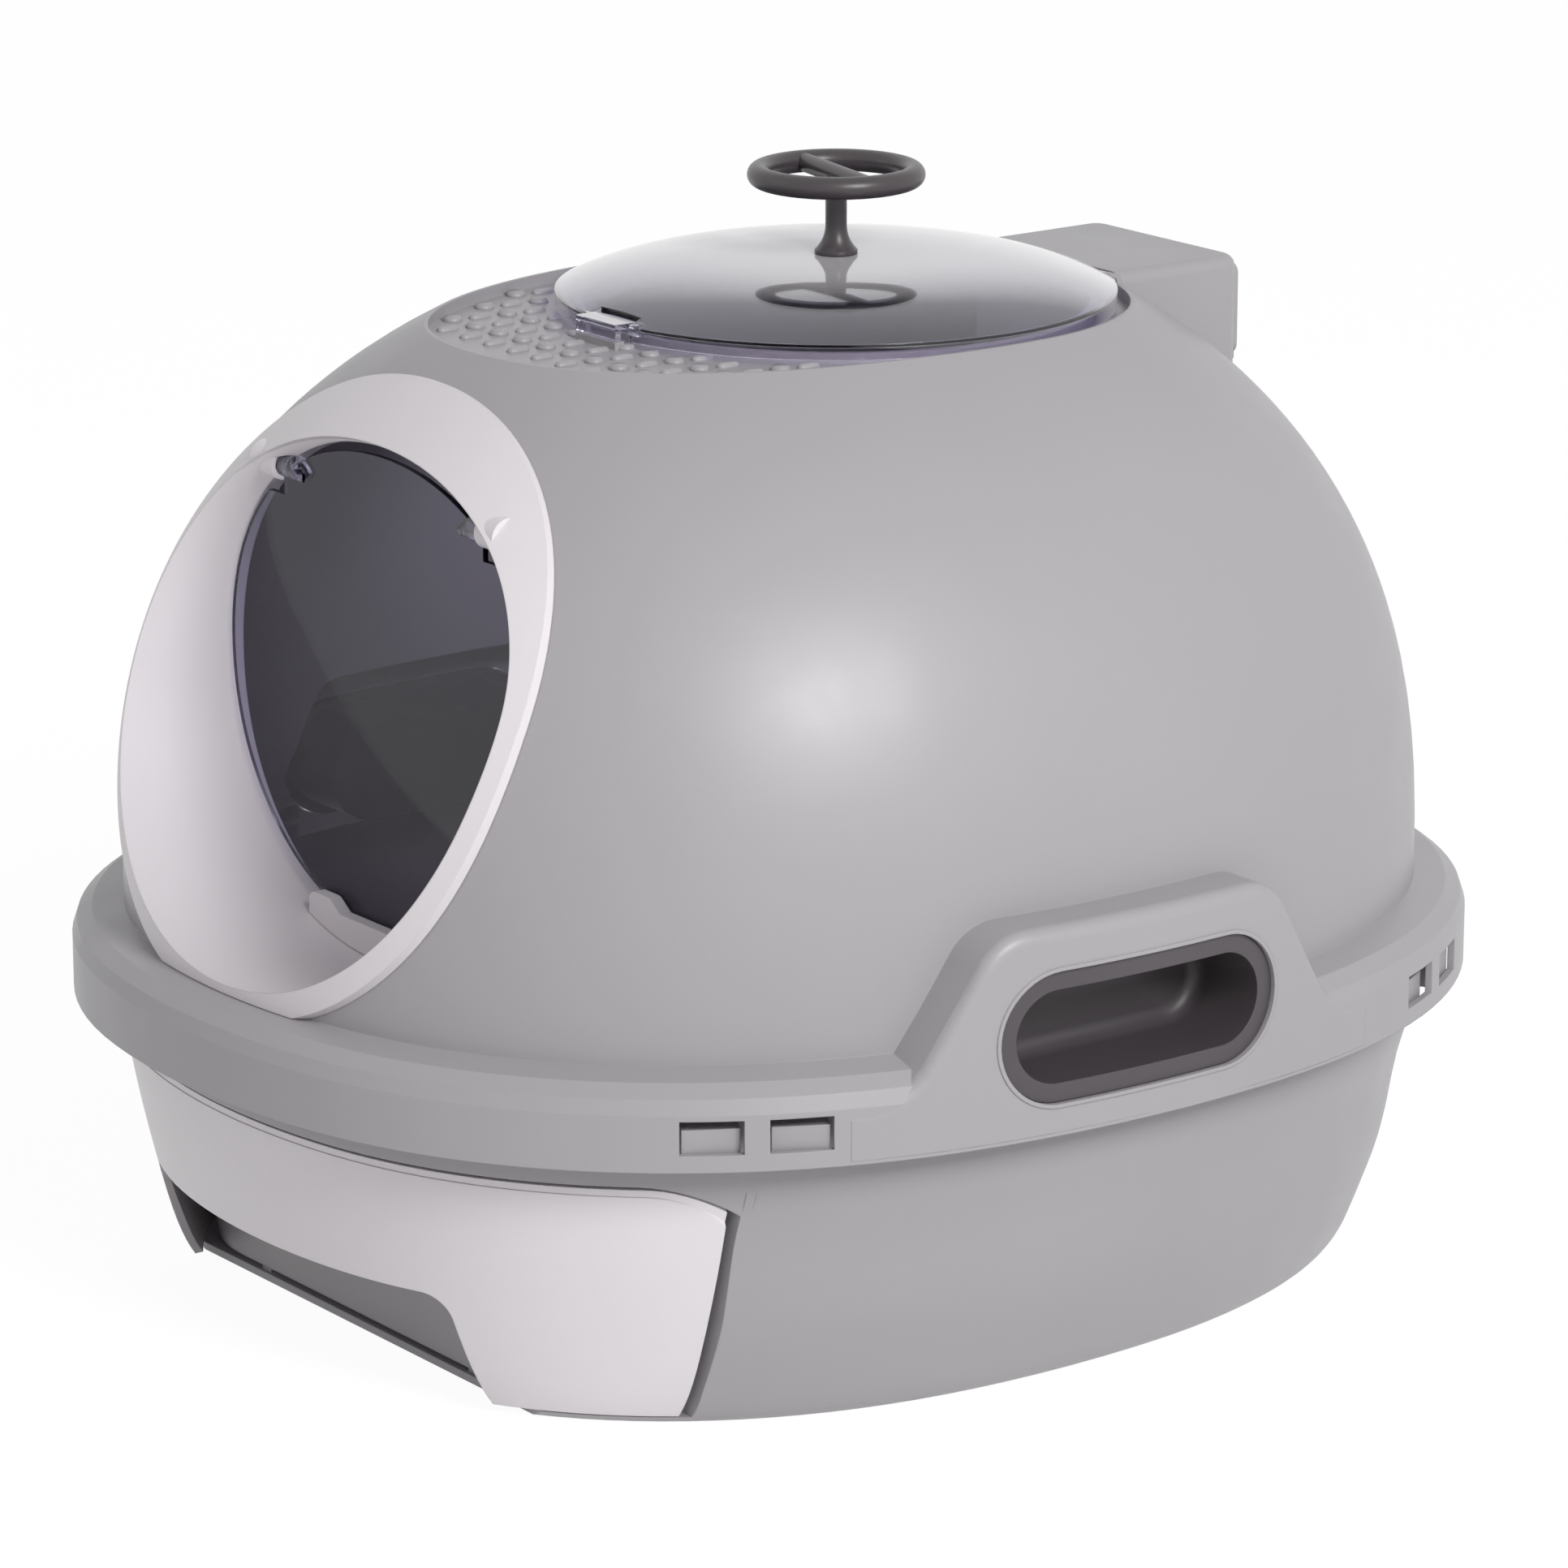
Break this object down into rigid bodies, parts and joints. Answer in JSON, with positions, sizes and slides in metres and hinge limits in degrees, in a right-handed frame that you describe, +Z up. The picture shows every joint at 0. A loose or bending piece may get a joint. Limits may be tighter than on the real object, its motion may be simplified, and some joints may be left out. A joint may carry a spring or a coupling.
{
  "type": "covered litter box",
  "caption": "Covered litter box with a domed grey hood, a clear swing door in a white collar, a clear round top lid and a front drawer.",
  "frame": {"origin": "on the floor under the middle of the hood flange", "axes": "+Z up, front with the door and the drawer towards -Y, +X to the right seen from the front"},
  "size_m": [0.4816, 0.5385, 0.42],
  "materials": {
    "base_plastic": "satin moulded polypropylene, mid grey",
    "hood_plastic": "satin moulded polypropylene, mid grey",
    "tray_plastic": "satin moulded polypropylene, grey",
    "white_plastic": "satin moulded polypropylene, off-white",
    "clear_plastic": "clear moulded styrene, gloss",
    "clear_lid_plastic": "clear moulded styrene, gloss",
    "dark_plastic": "dark brown-grey moulded plastic, semi-gloss",
    "frame_plastic": "satin moulded polypropylene, grey",
    "carbon_foam": "black activated-carbon foam",
    "screw_steel": "zinc plated",
    "pin_steel": "drawn steel wire"
  },
  "bodies": {
    "base": {"base_shell": "base_plastic"},
    "hood": {"hood_shell": "hood_plastic", "entrance_collar": "white_plastic", "door_sill": "white_plastic", "side_handle_left": "dark_plastic", "side_handle_right": "dark_plastic", "lid_hinge_pin": "pin_steel"},
    "drawer": {"drawer_tray": "tray_plastic", "drawer_front": "white_plastic", "drawer_screws": "screw_steel"},
    "door": {"door_flap": "clear_plastic", "door_peg_left": "clear_plastic", "door_peg_right": "clear_plastic"},
    "lid": {"top_lid": "clear_lid_plastic", "lid_handle": "dark_plastic", "handle_screw": "screw_steel", "handle_washer": "screw_steel"},
    "latch": {"lid_latch": "clear_lid_plastic"},
    "filter": {"filter_frame": "frame_plastic", "filter_cover": "hood_plastic", "carbon_filter": "carbon_foam"}
  },
  "joints": [
    {"name": "hood_lift", "type": "slide", "parent": "base", "child": "hood", "axis": [0, 0, 1], "range_m": [0, 0.25]},
    {"name": "drawer_slide", "type": "slide", "parent": "base", "child": "drawer", "axis": [0, -1, 0], "range_m": [0, 0.3]},
    {"name": "door_swing", "type": "hinge", "parent": "hood", "child": "door", "pos_m": [0, -0.1776, 0.3195], "axis": [1, 0, 0], "range_deg": [0, 75]},
    {"name": "lid_hinge", "type": "hinge", "parent": "hood", "child": "lid", "pos_m": [0, 0.13, 0.369], "axis": [-1, 0, 0], "range_deg": [0, 100]},
    {"name": "latch_turn", "type": "hinge", "parent": "lid", "child": "latch", "pos_m": [0, -0.0736, 0.3709], "axis": [-1, 0, 0], "range_deg": [0, 35]},
    {"name": "filter_pull", "type": "slide", "parent": "hood", "child": "filter", "axis": [0, 1, 0], "range_m": [0, 0.065]}
  ]
}
